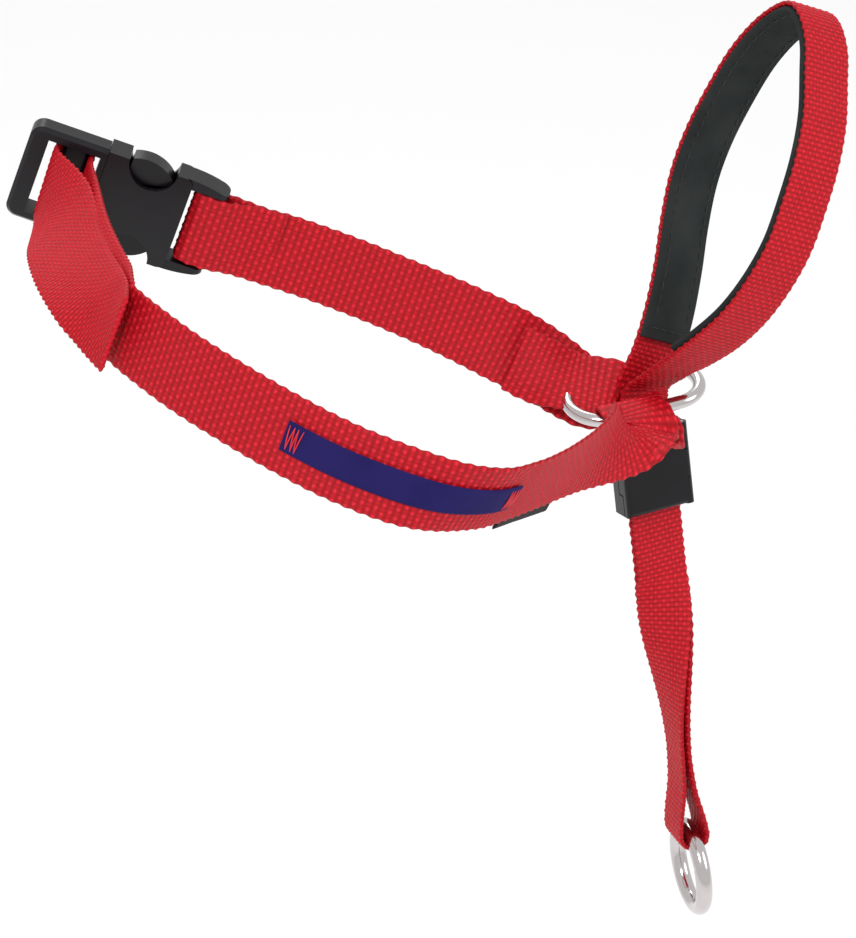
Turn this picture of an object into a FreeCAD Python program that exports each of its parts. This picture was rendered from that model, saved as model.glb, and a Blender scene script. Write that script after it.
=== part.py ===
import FreeCAD, Part
import math
import os

# Dog's head halter, in millimetres, as it hangs when worn.
# X points forward along the muzzle, Y to the dog's left, Z up.
# The origin is the centre of the neck opening.

V = FreeCAD.Vector

# Webbing
NECK_WIDTH = 19.0
NOSE_WIDTH = 13.0
WEB_THICK = 1.5
SPAN_STEPS = 3
SEWN_GAP = 0.23
PLY_OFFSET = 0.9
NEAR_APPROACH = 6.0
FOLD_BACK = 5.0
FOLD_RISE = 0.4

# Neck loop: it lies round an axis that leans forward
NECK_LEAN_DEG = 22.0

# Chin ring, an oval of bent wire
RING_WIRE = 3.2
RING_OPENING_LENGTH = 30.0
RING_OPENING_WIDTH = 13.0
RING_SHIFT = 1.8
RING_FORWARD = 63.0
RING_LEFT = -15.5
RING_ROLL_DEG = 3.0
NEAR_STRAP_OFFSET = -1.5
FAR_STRAP_OFFSET = 1.2
FAR_TURN_FROM = -35.0
WRAP_CLEARANCE = 0.2
LOOSE_CLEARANCE = 0.75

# The neck straps are drawn in where they wrap the ring
GATHERED_WIDTH = 16.2
GATHER_SECTIONS = 9

# Where the nose strands pass through the ring
STRAND_OFFSET = 4.1

# Nose loop: it stands in a plane that leans forward
NOSE_LEAN_DEG = 28.0
LINING_THICK = 1.8
LINING_WIDTH = 13.4

# Flat sides of a ring's wire
WIRE_SIDES = 16

# Control strap and its ring
DROP_LEAN_DEG = 14.5
DROP_STRAIGHT_END = 46.0
DROP_PIVOT = 113.5
DROP_TWIST_DEG = 100.0
TWIST_END = 94.0
TWIST_STEP = 4.0
TWIST_COUNT = 12
LOOP_MOUTH = 102.0
LOOP_CHEEK = 109.5
CONTROL_WIRE = 4.0
CONTROL_RING_RADIUS = 10.25
CONTROL_LOOP_RADIUS = 5.2

# Clamp on the control strap
CLAMP_TOP = 9.0
CLAMP_HEIGHT = 20.5
CLAMP_WIDTH = 17.6
CLAMP_WALL = 1.8
CLAMP_CORNER = 1.4
LID_CORNER = 1.2
CLAMP_SLOT_DEPTH = 3.9
CLAMP_SLOT_WIDTH = 14.0
LID_THICK = 2.2
CATCH_DEPTH = 1.0
CATCH_LOW = 0.4
CATCH_TOP = 5.5
CATCH_BOTTOM = 15.0
CLAMP_PIN_RADIUS = 0.6
HINGE_INSET = 0.9
HINGE_RISE = 0.95
CLAMP_KNUCKLE_RADIUS = 1.3
RUNNING_CLEARANCE = 0.06
PART_CLEARANCE = 0.3

# Side-release buckle
BUCKLE_FORWARD = -46.5
BUCKLE_LEFT = 62.5
BUCKLE_YAW_DEG = -30.0
BUCKLE_LEAN_DEG = 8.0
SOCKET_LENGTH = 30.0
SOCKET_BODY = 21.0
SOCKET_CORNER = 2.0
SOCKET_HALF_WIDTH = 12.5
SOCKET_THICK = 9.0
EAR_OUTER = 12.4
EAR_INNER = 9.9
EAR_BULGE = 12.1
EAR_TIP = 10.9
EAR_ROOT = 4.0
EAR_ROUND = 2.0
MOUTH_HALF_WIDTH = 11.0
CAVITY_THICK = 5.6
CAVITY_LENGTH = 19.0
SCALLOP_RADIUS = 6.0
SCALLOP_FORWARD = 11.0
SCALLOP_REACH = 12.6
SOCKET_BAR_FORWARD = 25.0
SOCKET_BAR_RADIUS = 1.5
PLUG_LENGTH = 19.0
PLUG_HALF_WIDTH = 12.5
PLUG_THICK = 8.0
PLUG_RAIL = 2.5
PLUG_CORNER = 3.0
PLUG_BEVEL = 0.9
CROSSBAR_WIDTH = 4.6
LADDER_BAR_HALF = 3.1
LADDER_BAR_BACK = -7.4
LADDER_BAR_TOP = -0.5
LADDER_BAR_THICK = 2.2
JOINT_GAP = 0.1
CROWN = 0.9
EAR_HALF = 3.2
PLUG_BASE_WIDTH = 1.6
GUIDE_HALF_WIDTH = 1.6
GUIDE_LENGTH = 15.0
PRONG_THICK = 4.6
PRONG_ROOT = 7.0
PRONG_ARM = 2.2
PRONG_START = 0.2
ARM_END = 9.0
ARM_TAPER = 0.25
HEAD_START = 5.8
HEAD_MIDDLE = 11.5
HEAD_END = 16.4
HEAD_SHOULDER = 12.4
HEAD_REACH = 12.9
TIP_OUTSIDE = 9.8
TIP_INSIDE = 8.4

# Label and tag
LABEL_FIRST = 12
LABEL_LAST = 26
LABEL_WIDTH = 7.4
LABEL_THICK = 0.6
TAG_FIRST = 28
TAG_LAST = 34
TAG_DROP = 5.5
TAG_WIDTH = 11.0
TAG_THICK = 0.8

os.makedirs("parts", exist_ok=True)


def lean(degrees):
    angle = math.radians(degrees)
    return math.cos(angle), math.sin(angle)


NECK_COS, NECK_SIN = lean(NECK_LEAN_DEG)
NECK_FORWARD = V(NECK_COS, 0, -NECK_SIN)
NECK_UP = V(NECK_SIN, 0, NECK_COS)
LEFT = V(0, 1, 0)
FORWARD = V(1, 0, 0)

NOSE_COS, NOSE_SIN = lean(NOSE_LEAN_DEG)
NOSE_ACROSS = V(NOSE_COS, 0, -NOSE_SIN)
NOSE_UP = V(NOSE_SIN, 0, NOSE_COS)

DROP_COS, DROP_SIN = lean(DROP_LEAN_DEG)
DROP = V(0, -DROP_SIN, -DROP_COS)
DROP_NEAR = V(0, -DROP_COS, DROP_SIN)

RING_COS, RING_SIN = lean(RING_ROLL_DEG)
RING_SIDE = V(0, RING_COS, RING_SIN)
RING_NORMAL = V(0, -RING_SIN, RING_COS)


def neck(forward, left, up=0.0):
    """A point in the neck loop's own axes."""
    return NECK_FORWARD * forward + LEFT * left + NECK_UP * up


RING_CENTRE = neck(RING_FORWARD, RING_LEFT)


def nose(left, up):
    """A point in the nose loop's plane, measured from the chin ring."""
    return RING_CENTRE + FORWARD * STRAND_OFFSET + LEFT * left + NOSE_UP * up


def drop(down, near=0.0):
    """A point on the control strap's line, measured from the chin ring."""
    return RING_CENTRE + FORWARD * STRAND_OFFSET + DROP * down + DROP_NEAR * near


BUCKLE_COS, BUCKLE_SIN = lean(BUCKLE_YAW_DEG)
TILT_COS, TILT_SIN = lean(BUCKLE_LEAN_DEG)
BUCKLE_ALONG = NECK_FORWARD * BUCKLE_COS + LEFT * BUCKLE_SIN
BUCKLE_FLAT = BUCKLE_ALONG.cross(NECK_UP)
BUCKLE_ACROSS = NECK_UP * TILT_COS + BUCKLE_FLAT * TILT_SIN
BUCKLE_OUT = BUCKLE_ALONG.cross(BUCKLE_ACROSS)


def buckle(along, across, out):
    """A point in the buckle's own axes, measured from where plug and socket meet."""
    centre = neck(BUCKLE_FORWARD, BUCKLE_LEFT)
    return centre + BUCKLE_ALONG * along + BUCKLE_ACROSS * across + BUCKLE_OUT * out


def unit(vector):
    return vector * (1.0 / vector.Length)


def catmull(points, count):
    """Points of a smooth curve through the given ones, count to each span."""
    ends = [points[0] * 2 - points[1]] + points + [points[-1] * 2 - points[-2]]
    out = []
    for k in range(len(points) - 1):
        p0, p1, p2, p3 = ends[k:k + 4]
        for step in range(count):
            t = step / count
            a = p1 * 2
            b = (p2 - p0) * t
            c = (p0 * 2 - p1 * 5 + p2 * 4 - p3) * (t * t)
            d = (p1 * 3 - p0 - p2 * 3 + p3) * (t * t * t)
            out.append((a + b + c + d) * 0.5)
    out.append(points[-1])
    return out


def flat_face(corners):
    return Part.Face(Part.makePolygon(corners + corners[:1]))


def skin(sections):
    """A closed solid over four-cornered sections.

    Each side panel folds once, so that every facet is flat, and panels that face each other
    fold the same way, so that the thickness stays even where a strap twists.
    """
    faces = [flat_face(sections[0]), flat_face(sections[-1])]
    for low, high in zip(sections, sections[1:]):
        for k in (0, 1):
            faces.append(flat_face([low[k], low[k + 1], high[k + 1]]))
            faces.append(flat_face([low[k], high[k + 1], high[k]]))
            facing = (k + 3) % 4
            faces.append(flat_face([low[k + 2], low[facing], high[k + 2]]))
            faces.append(flat_face([low[facing], high[facing], high[k + 2]]))
    return Part.Solid(Part.Shell(faces))


def ribbon(points, acrosses, widths, thick):
    """A strap's solid along points, each with the direction across it and its width."""
    sections = []
    last = len(points) - 1
    for k, point in enumerate(points):
        along = unit(points[min(k + 1, last)] - points[max(k - 1, 0)])
        across = unit(acrosses[k] - along * acrosses[k].dot(along))
        out = along.cross(across)
        w = across * (widths[k] / 2)
        t = out * (thick / 2)
        sections.append([point - w - t, point + w - t, point + w + t, point - w + t])
    return skin(sections)


def place(shape, origin, x_axis, y_axis, z_axis):
    """A shape drawn at the world's origin, moved to its own axes."""
    matrix = FreeCAD.Matrix(
        x_axis.x, y_axis.x, z_axis.x, origin.x,
        x_axis.y, y_axis.y, z_axis.y, origin.y,
        x_axis.z, y_axis.z, z_axis.z, origin.z,
        0, 0, 0, 1)
    moved = shape.copy()
    moved.transformShape(matrix)
    return moved


def outline(points):
    """A flat face from corner points, given as (x, y)."""
    corners = [V(x, y, 0) for x, y in points]
    return Part.Face(Part.makePolygon(corners + corners[:1]))


def slab(points, low, high):
    """The outline extruded from low to high."""
    face = outline(points)
    face.translate(V(0, 0, low))
    return face.extrude(V(0, 0, high - low))


def fillet(shape, radius, keep):
    """Rounds the edges that keep accepts."""
    edges = [e for e in shape.Edges if keep(e)]
    return shape.makeFillet(radius, edges)


def save(name, shape):
    shape = shape.removeSplitter()
    assert shape.isValid(), name
    shape.exportStep("parts/" + name + ".step")
    print(name, len(shape.Solids), round(shape.Volume, 1))


# Neck straps

RING_BAR_REACH = (RING_OPENING_WIDTH + RING_WIRE) / 2


def arc_points(centre, start, side, radius, steps, begin=0.0):
    """Points on an arc from begin to 180 degrees; start is 0 and side is 90."""
    out = []
    for k in range(steps + 1):
        angle = math.radians(begin + (180.0 - begin) * k / steps)
        out.append(centre + start * (radius * math.cos(angle)) + side * (radius * math.sin(angle)))
    return out


def ring_wrap(side, offset, begin, clearance):
    """The path round one long bar of the chin ring and back under; side is 1 on the left."""
    away = RING_SIDE * side
    bar = RING_CENTRE + away * RING_BAR_REACH + FORWARD * offset
    turn = arc_points(bar, RING_NORMAL, away * -1, (RING_WIRE + WEB_THICK) / 2 + clearance, 7, begin)
    return turn + [turn[-1] + away * FOLD_BACK + RING_NORMAL * FOLD_RISE]


def gathered(count, wrap_count):
    """Widths of a neck strap: even, then drawn in over the last sections before its wrap."""
    taper = []
    for k in range(GATHER_SECTIONS):
        taper.append(NECK_WIDTH + (GATHERED_WIDTH - NECK_WIDTH) * k / GATHER_SECTIONS)
    return [NECK_WIDTH] * (count - GATHER_SECTIONS) + taper + [GATHERED_WIDTH] * wrap_count


NEAR_ROUTE = [
    neck(-73.5, -10.5),
    neck(-72.0, -18.0),
    neck(-67.5, -32.0),
    neck(-61.0, -45.0),
    neck(-53.0, -58.0),
    neck(-44.0, -69.0),
    neck(-33.0, -77.0),
    neck(-22.0, -80.5),
    neck(-10.0, -79.0),
    neck(1.0, -73.5),
    neck(12.0, -66.5),
    neck(24.0, -58.0),
    neck(36.0, -49.5, 0.5),
    neck(48.0, -41.0, 0.5),
    neck(57.5, -34.0, -0.5),
    ring_wrap(-1, NEAR_STRAP_OFFSET, 0.0, LOOSE_CLEARANCE)[0] - RING_SIDE * NEAR_APPROACH,
]
NEAR_ACROSS = [NECK_UP] * 7 + [
    unit(NECK_UP + LEFT * -0.15),
    unit(NECK_UP + LEFT * -0.3 + NECK_FORWARD * -0.1),
    unit(NECK_UP + LEFT * -0.38 + NECK_FORWARD * -0.15),
    unit(NECK_UP + LEFT * -0.4 + NECK_FORWARD * -0.2),
    unit(NECK_UP * 0.95 + LEFT * -0.4 + NECK_FORWARD * -0.35),
    unit(NECK_UP * 0.8 + LEFT * -0.35 + NECK_FORWARD * -0.6),
    unit(NECK_UP * 0.5 + LEFT * -0.1 + NECK_FORWARD * -0.85),
    unit(FORWARD * -1.0 + NECK_UP * 0.2),
    FORWARD * -1,
]

FAR_ROUTE = [
    neck(-14.5, 44.0),
    neck(-7.0, 41.5),
    neck(1.0, 37.5),
    neck(10.0, 31.8),
    neck(20.0, 24.0),
    neck(30.0, 14.8),
    neck(40.0, 6.5, -0.8),
    neck(48.3, 2.5, -2.2),
    neck(55.5, 0.0, -2.8),
    neck(62.0, -2.0, -0.4),
]
FAR_ACROSS = [
    unit(NECK_UP + LEFT * -0.08),
    NECK_UP, NECK_UP, NECK_UP, NECK_UP,
    unit(NECK_UP + LEFT * 0.1),
    unit(V(0.34, 0.28, 0.9)),
    unit(V(0.42, 0.5, 0.76)),
    unit(V(0.62, 0.56, 0.52)),
    unit(V(0.95, 0.28, 0.12)),
]


def near_line():
    """The near strap's middle line and the directions across it, up to the ring."""
    return catmull(NEAR_ROUTE, SPAN_STEPS), catmull(NEAR_ACROSS, SPAN_STEPS)


def neck_strap_near():
    points, across = near_line()
    wrap = ring_wrap(-1, NEAR_STRAP_OFFSET, 0.0, LOOSE_CLEARANCE)
    widths = gathered(len(points), len(wrap))
    return ribbon(points + wrap, across + [FORWARD * -1] * len(wrap), widths, WEB_THICK)


def neck_strap_far():
    bar = buckle(SOCKET_BAR_FORWARD, 0, 0)
    radius = SOCKET_BAR_RADIUS + WRAP_CLEARANCE + WEB_THICK / 2
    turn = arc_points(bar, BUCKLE_OUT * -1, BUCKLE_ALONG * -1, radius, 6)
    fold_back = [
        turn[0] + BUCKLE_ALONG * FOLD_BACK * 2 + BUCKLE_OUT * FOLD_RISE,
        turn[0] + BUCKLE_ALONG * FOLD_BACK,
    ]
    leave = [turn[-1] + BUCKLE_ALONG * FOLD_BACK]
    wrap = ring_wrap(1, FAR_STRAP_OFFSET, FAR_TURN_FROM, WRAP_CLEARANCE)
    start = fold_back + turn
    across = [BUCKLE_ACROSS] * len(start)
    points = start + catmull(leave + FAR_ROUTE, SPAN_STEPS)
    widths = gathered(len(points), len(wrap))
    across += catmull([BUCKLE_ACROSS] + FAR_ACROSS, SPAN_STEPS)
    across += [FORWARD] * len(wrap)
    return ribbon(points + wrap, across, widths, WEB_THICK)


def ladder_turn():
    """The path down through one slot, under the plug's flat bar and up through the other."""
    away = WRAP_CLEARANCE + WEB_THICK / 2
    reach = LADDER_BAR_HALF + away
    low = LADDER_BAR_TOP - LADDER_BAR_THICK - away
    radius = LADDER_BAR_THICK / 2 + away
    down = arc_points(buckle(LADDER_BAR_BACK + reach - radius, 0, low + radius),
                      BUCKLE_ALONG, BUCKLE_OUT * -1, radius, 6)
    up = arc_points(buckle(LADDER_BAR_BACK - reach + radius, 0, low + radius),
                    BUCKLE_ALONG, BUCKLE_OUT * -1, radius, 6)
    return down[:4] + up[3:]


def adjuster_tail():
    """The strap's end: into the plug, round its ladder bar and back down outside itself."""
    turn = ladder_turn()
    inner = [
        neck(-72.6, -8.5),
        neck(-71.6, 3.0),
        neck(-69.6, 16.0),
        neck(-66.0, 29.5),
        neck(-59.5, 44.5),
        turn[0] + BUCKLE_OUT * PLUG_THICK,
    ]
    inner_across = [
        NECK_UP,
        unit(NECK_UP * 0.8 + NECK_FORWARD * 0.3 + LEFT * -0.3),
        unit(NECK_UP * 0.85 + NECK_FORWARD * 0.4 + LEFT * -0.3),
        unit(NECK_UP * 0.9 + NECK_FORWARD * 0.35 + LEFT * -0.2),
        unit(NECK_UP * 0.95 + NECK_FORWARD * 0.15 + LEFT * -0.1),
        BUCKLE_ACROSS,
    ]
    outer = [
        turn[-1] + BUCKLE_OUT * PLUG_THICK,
        neck(-63.5, 46.3),
        neck(-69.5, 30.5),
        neck(-73.5, 16.5),
        neck(-75.6, 3.0),
        neck(-76.3, -6.0),
        neck(-78.2, -17.1),
    ]
    outer_across = [
        BUCKLE_ACROSS,
        unit(NECK_UP * 0.85 + NECK_FORWARD * 0.45 + LEFT * -0.1),
        unit(NECK_UP * 0.7 + NECK_FORWARD * 0.65 + LEFT * -0.28),
        unit(NECK_UP * 0.65 + NECK_FORWARD * 0.65 + LEFT * -0.3),
        unit(NECK_UP * 0.7 + NECK_FORWARD * 0.5 + LEFT * -0.35),
        unit(NECK_UP * 0.9 + NECK_FORWARD * 0.3 + LEFT * -0.25),
        NECK_UP,
    ]
    points = catmull(inner, SPAN_STEPS) + turn + catmull(outer, SPAN_STEPS)
    across = catmull(inner_across, SPAN_STEPS) + [BUCKLE_ACROSS] * len(turn)
    across += catmull(outer_across, SPAN_STEPS)
    return ribbon(points, across, [NECK_WIDTH] * len(points), WEB_THICK)


def patch(first, last, offset, drop_by, width, thick):
    """A short flat piece that follows the near strap's face, offset out of it."""
    points, across = near_line()
    run = []
    run_across = []
    for k in range(first, last + 1):
        along = unit(points[k + 1] - points[k - 1])
        level = unit(across[k] - along * across[k].dot(along))
        out = along.cross(level)
        run.append(points[k] + out * offset - level * drop_by)
        run_across.append(level)
    return ribbon(run, run_across, [width] * len(run), thick)


def woven_label():
    offset = (WEB_THICK + LABEL_THICK) / 2 + SEWN_GAP
    return patch(LABEL_FIRST, LABEL_LAST, offset, 0, LABEL_WIDTH, LABEL_THICK)


def size_tag():
    offset = -(WEB_THICK + TAG_THICK) / 2 - SEWN_GAP
    return patch(TAG_FIRST, TAG_LAST, offset, TAG_DROP, TAG_WIDTH, TAG_THICK)


# Chin ring

def round_wire(radius, centre, x_axis, y_axis):
    """The section of a round wire, with a few flat sides so that the ring stays light."""
    corners = []
    for k in range(WIRE_SIDES):
        cos, sin = lean(360.0 * k / WIRE_SIDES)
        corners.append(centre + x_axis * (radius * cos) + y_axis * (radius * sin))
    return Part.makePolygon(corners + corners[:1])


def chin_ring():
    half = (RING_OPENING_LENGTH - RING_OPENING_WIDTH) / 2
    radius = RING_BAR_REACH
    near_rear = V(-half, -radius, 0)
    near_front = V(half, -radius, 0)
    far_front = V(half, radius, 0)
    far_rear = V(-half, radius, 0)
    wire = Part.Wire([
        Part.LineSegment(near_rear, near_front).toShape(),
        Part.Arc(near_front, V(half + radius, 0, 0), far_front).toShape(),
        Part.LineSegment(far_front, far_rear).toShape(),
        Part.Arc(far_rear, V(-half - radius, 0, 0), near_rear).toShape(),
    ])
    section = round_wire(RING_WIRE / 2, near_rear, V(0, 1, 0), V(0, 0, 1))
    ring = wire.makePipeShell([section], True, False)
    return place(ring, RING_CENTRE + FORWARD * RING_SHIFT, FORWARD, RING_SIDE, RING_NORMAL)


# Nose loop

NOSE_ROUTE = [
    drop(9.2, 1.0),
    nose(-1.3, 0.0),
    nose(-5.0, 7.0),
    nose(-11.0, 14.5),
    nose(-17.0, 23.0),
    nose(-21.5, 32.0),
    nose(-24.0, 42.0),
    nose(-24.5, 52.0),
    nose(-22.5, 62.0),
    nose(-19.5, 72.0),
    nose(-15.0, 81.0),
    nose(-8.5, 89.0),
    nose(-3.0, 95.0),
    nose(4.0, 98.7),
    nose(10.0, 98.0),
    nose(16.0, 91.0),
    nose(20.0, 81.0),
    nose(21.5, 69.0),
    nose(21.5, 58.0),
    nose(19.5, 48.0),
    nose(15.0, 38.0),
    nose(9.5, 28.5),
    nose(4.8, 18.5),
    nose(2.2, 9.5),
    nose(1.3, 0.0),
    drop(9.2, -1.0),
]
NOSE_TURN = [0.0, 0.2, 0.5, 0.8] + [1.0] * (len(NOSE_ROUTE) - 8) + [0.8, 0.5, 0.2, 0.0]
LINING_FIRST = 4
LINING_LAST = 22


def nose_line():
    """The nose strap's middle line and the directions across it."""
    across = [unit(FORWARD * (1 - turn) + NOSE_ACROSS * turn) for turn in NOSE_TURN]
    return catmull(NOSE_ROUTE, SPAN_STEPS), catmull(across, SPAN_STEPS)


def nose_strap():
    points, across = nose_line()
    return ribbon(points, across, [NOSE_WIDTH] * len(points), WEB_THICK)


def nose_lining():
    """The padding sewn inside the loop, clear of the ring at both ends."""
    points, across = nose_line()
    offset = (WEB_THICK + LINING_THICK) / 2 + SEWN_GAP
    run = []
    run_across = []
    for k in range(LINING_FIRST * SPAN_STEPS, LINING_LAST * SPAN_STEPS + 1):
        along = unit(points[k + 1] - points[k - 1])
        run.append(points[k] + unit(along.cross(across[k])) * offset)
        run_across.append(across[k])
    return ribbon(run, run_across, [LINING_WIDTH] * len(run), LINING_THICK)


# Control strap and ring

def twist_at(down):
    """How far the control strap has turned, in radians, at a depth below the chin ring."""
    share = (down - DROP_STRAIGHT_END) / (TWIST_END - DROP_STRAIGHT_END)
    share = min(max(share, 0.0), 1.0)
    return math.radians(DROP_TWIST_DEG) * math.sin(share * math.pi / 2)


def drop_axes(down):
    """The directions across the control strap and out of its near face."""
    angle = twist_at(down)
    across = FORWARD * math.cos(angle) + DROP_NEAR * math.sin(angle)
    return across, DROP_NEAR * math.cos(angle) - FORWARD * math.sin(angle)


def control_strap():
    """Two plies, twisted together, that open into a loop round the ring's wire."""
    depths = [9.6, DROP_STRAIGHT_END]
    depths += [DROP_STRAIGHT_END + TWIST_STEP * k for k in range(1, TWIST_COUNT + 1)]
    spread = [PLY_OFFSET] * len(depths)
    depths += [LOOP_MOUTH, LOOP_CHEEK]
    radius = CONTROL_LOOP_RADIUS + WEB_THICK / 2
    spread += [PLY_OFFSET * 1.6, radius * 0.86]
    front = []
    back = []
    across = []
    for down, apart in zip(depths, spread):
        level, out = drop_axes(down)
        front.append(drop(down) + out * apart)
        back.append(drop(down) - out * apart)
        across.append(level)
    level, out = drop_axes(DROP_PIVOT)
    turn = arc_points(drop(DROP_PIVOT), out, DROP, radius, 8)
    points = front + turn + back[::-1]
    across = across + [level] * len(turn) + across[::-1]
    return ribbon(points, across, [NOSE_WIDTH] * len(points), WEB_THICK)


def control_ring():
    across, out = drop_axes(DROP_PIVOT)
    section = round_wire(CONTROL_WIRE / 2, V(CONTROL_RING_RADIUS, 0, 0), V(1, 0, 0), V(0, 0, 1))
    ring = Part.Face(section).revolve(V(0, 0, 0), V(0, 0, 1), 360)
    return place(ring, drop(DROP_PIVOT + CONTROL_RING_RADIUS), across, DROP, across.cross(DROP))


# Clamp: x is forward, y towards the near side, z down the strap

CLAMP_HALF = CLAMP_WIDTH / 2
SLOT_HALF = CLAMP_SLOT_DEPTH / 2
HINGE_X = CLAMP_HALF - HINGE_INSET
HINGE_Y = SLOT_HALF + HINGE_RISE
KNUCKLE_END = CLAMP_HEIGHT / 3


def clamp_box(x0, x1, y0, y1, z0=0.0, z1=CLAMP_HEIGHT):
    return Part.makeBox(x1 - x0, y1 - y0, z1 - z0, V(x0, y0, z0))


def hinge_post(radius, z0=0.0, z1=CLAMP_HEIGHT):
    return Part.makeCylinder(radius, z1 - z0, V(HINGE_X, HINGE_Y, z0))


def put_clamp(shape):
    return place(shape, drop(CLAMP_TOP), FORWARD, DROP_NEAR, DROP)


def clamp_body():
    body = clamp_box(-CLAMP_HALF, CLAMP_HALF, -SLOT_HALF - CLAMP_WALL, SLOT_HALF)
    body = fillet(body, CLAMP_CORNER, lambda e: e.CenterOfMass.y < -SLOT_HALF and abs(e.CenterOfMass.x) > CLAMP_HALF - 0.1)
    slot = clamp_box(-CLAMP_SLOT_WIDTH / 2, CLAMP_SLOT_WIDTH / 2, -SLOT_HALF, SLOT_HALF + 1)
    catch = clamp_box(-CLAMP_HALF - 1, -CLAMP_HALF + CATCH_DEPTH + PART_CLEARANCE, CATCH_LOW - PART_CLEARANCE,
                      SLOT_HALF + 1, CATCH_TOP - PART_CLEARANCE, CATCH_BOTTOM + PART_CLEARANCE)
    body = body.cut(slot).cut(catch)
    body = body.cut(hinge_post(CLAMP_KNUCKLE_RADIUS + PART_CLEARANCE, KNUCKLE_END, CLAMP_HEIGHT - KNUCKLE_END))
    ends = hinge_post(CLAMP_KNUCKLE_RADIUS, 0, KNUCKLE_END - PART_CLEARANCE)
    ends = ends.fuse(hinge_post(CLAMP_KNUCKLE_RADIUS, CLAMP_HEIGHT - KNUCKLE_END + PART_CLEARANCE))
    body = body.fuse(ends.cut(slot)).cut(hinge_post(CLAMP_PIN_RADIUS))
    return put_clamp(body)


def clamp_lid():
    low = SLOT_HALF + PART_CLEARANCE
    high = low + LID_THICK
    lid = clamp_box(-CLAMP_HALF, HINGE_X, low, high)
    lid = fillet(lid, LID_CORNER, lambda e: e.CenterOfMass.y > high - 0.01 and e.CenterOfMass.x < HINGE_X - 0.01)
    lip = clamp_box(-CLAMP_HALF, -CLAMP_HALF + CATCH_DEPTH, CATCH_LOW, low + 0.5, CATCH_TOP, CATCH_BOTTOM)
    clear = CLAMP_KNUCKLE_RADIUS + PART_CLEARANCE
    lid = lid.cut(hinge_post(clear, -1, KNUCKLE_END))
    lid = lid.cut(hinge_post(clear, CLAMP_HEIGHT - KNUCKLE_END, CLAMP_HEIGHT + 1))
    middle = hinge_post(CLAMP_KNUCKLE_RADIUS, KNUCKLE_END, CLAMP_HEIGHT - KNUCKLE_END)
    lid = lid.fuse(middle).fuse(lip).cut(hinge_post(CLAMP_PIN_RADIUS + RUNNING_CLEARANCE, -1, CLAMP_HEIGHT + 1))
    return put_clamp(lid)


def clamp_pin():
    return put_clamp(hinge_post(CLAMP_PIN_RADIUS))


# Buckle: x runs from the plug to the socket, y across the strap, z out of the side that shows

def put_buckle(shape):
    return place(shape, buckle(0, 0, 0), BUCKLE_ALONG, BUCKLE_ACROSS, BUCKLE_OUT)


def crowned(x0, x1, half_width, middle, edge):
    """A bar along x whose two broad faces are gently crowned."""
    a = V(x0, -half_width, edge)
    b = V(x0, half_width, edge)
    c = V(x0, half_width, -edge)
    d = V(x0, -half_width, -edge)
    wire = Part.Wire([
        Part.Arc(a, V(x0, 0, middle), b).toShape(),
        Part.LineSegment(b, c).toShape(),
        Part.Arc(c, V(x0, 0, -middle), d).toShape(),
        Part.LineSegment(d, a).toShape(),
    ])
    return Part.Face(wire).extrude(V(x1 - x0, 0, 0))


def upright_edge(edge):
    """True for an edge that runs through the buckle's thickness."""
    first, last = edge.Vertexes[0].Point, edge.Vertexes[-1].Point
    return abs(first.z - last.z) > 2 and abs(first.x - last.x) + abs(first.y - last.y) < 0.01


def socket_ear(side):
    """An arm at one end of the webbing bar; its outer edge curves in towards the tip."""
    root_in = V(SOCKET_BODY - EAR_ROOT, side * EAR_INNER, -EAR_HALF)
    tip_in = V(SOCKET_LENGTH, side * EAR_INNER, -EAR_HALF)
    tip_out = V(SOCKET_LENGTH, side * EAR_TIP, -EAR_HALF)
    bulge = V(SOCKET_BAR_FORWARD, side * EAR_BULGE, -EAR_HALF)
    root_out = V(SOCKET_BODY - EAR_ROOT, side * EAR_OUTER, -EAR_HALF)
    edge = Part.Wire([
        Part.LineSegment(root_in, tip_in).toShape(),
        Part.LineSegment(tip_in, tip_out).toShape(),
        Part.Arc(tip_out, bulge, root_out).toShape(),
        Part.LineSegment(root_out, root_in).toShape(),
    ])
    ear = Part.Face(edge).extrude(V(0, 0, 2 * EAR_HALF))
    return fillet(ear, EAR_ROUND, lambda e: e.CenterOfMass.x > SOCKET_LENGTH - 0.01 and not upright_edge(e))


def buckle_socket():
    half = SOCKET_THICK / 2
    body = crowned(0, SOCKET_BODY, SOCKET_HALF_WIDTH, half, half - CROWN)
    body = fillet(body, SOCKET_CORNER, lambda e: upright_edge(e) and e.CenterOfMass.x > SOCKET_BODY - 1)
    for side in (-1, 1):
        body = body.fuse(socket_ear(side))
    body = body.fuse(Part.makeCylinder(SOCKET_BAR_RADIUS, 2 * EAR_INNER + 1,
                                       V(SOCKET_BAR_FORWARD, -EAR_INNER - 0.5, 0), V(0, 1, 0)))
    cavity = Part.makeBox(CAVITY_LENGTH + 1, 2 * MOUTH_HALF_WIDTH, CAVITY_THICK,
                          V(-1, -MOUTH_HALF_WIDTH, -CAVITY_THICK / 2))
    body = body.cut(cavity)
    for side in (-1, 1):
        centre = V(SCALLOP_FORWARD, side * SCALLOP_REACH, -SOCKET_THICK)
        body = body.cut(Part.makeCylinder(SCALLOP_RADIUS, 2 * SOCKET_THICK, centre))
    return put_buckle(body)


def bevelled_edge(edge):
    """True for the broad faces' edges round the plug's outer end and rails."""
    return not upright_edge(edge) and edge.CenterOfMass.x < -JOINT_GAP - 0.1


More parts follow.
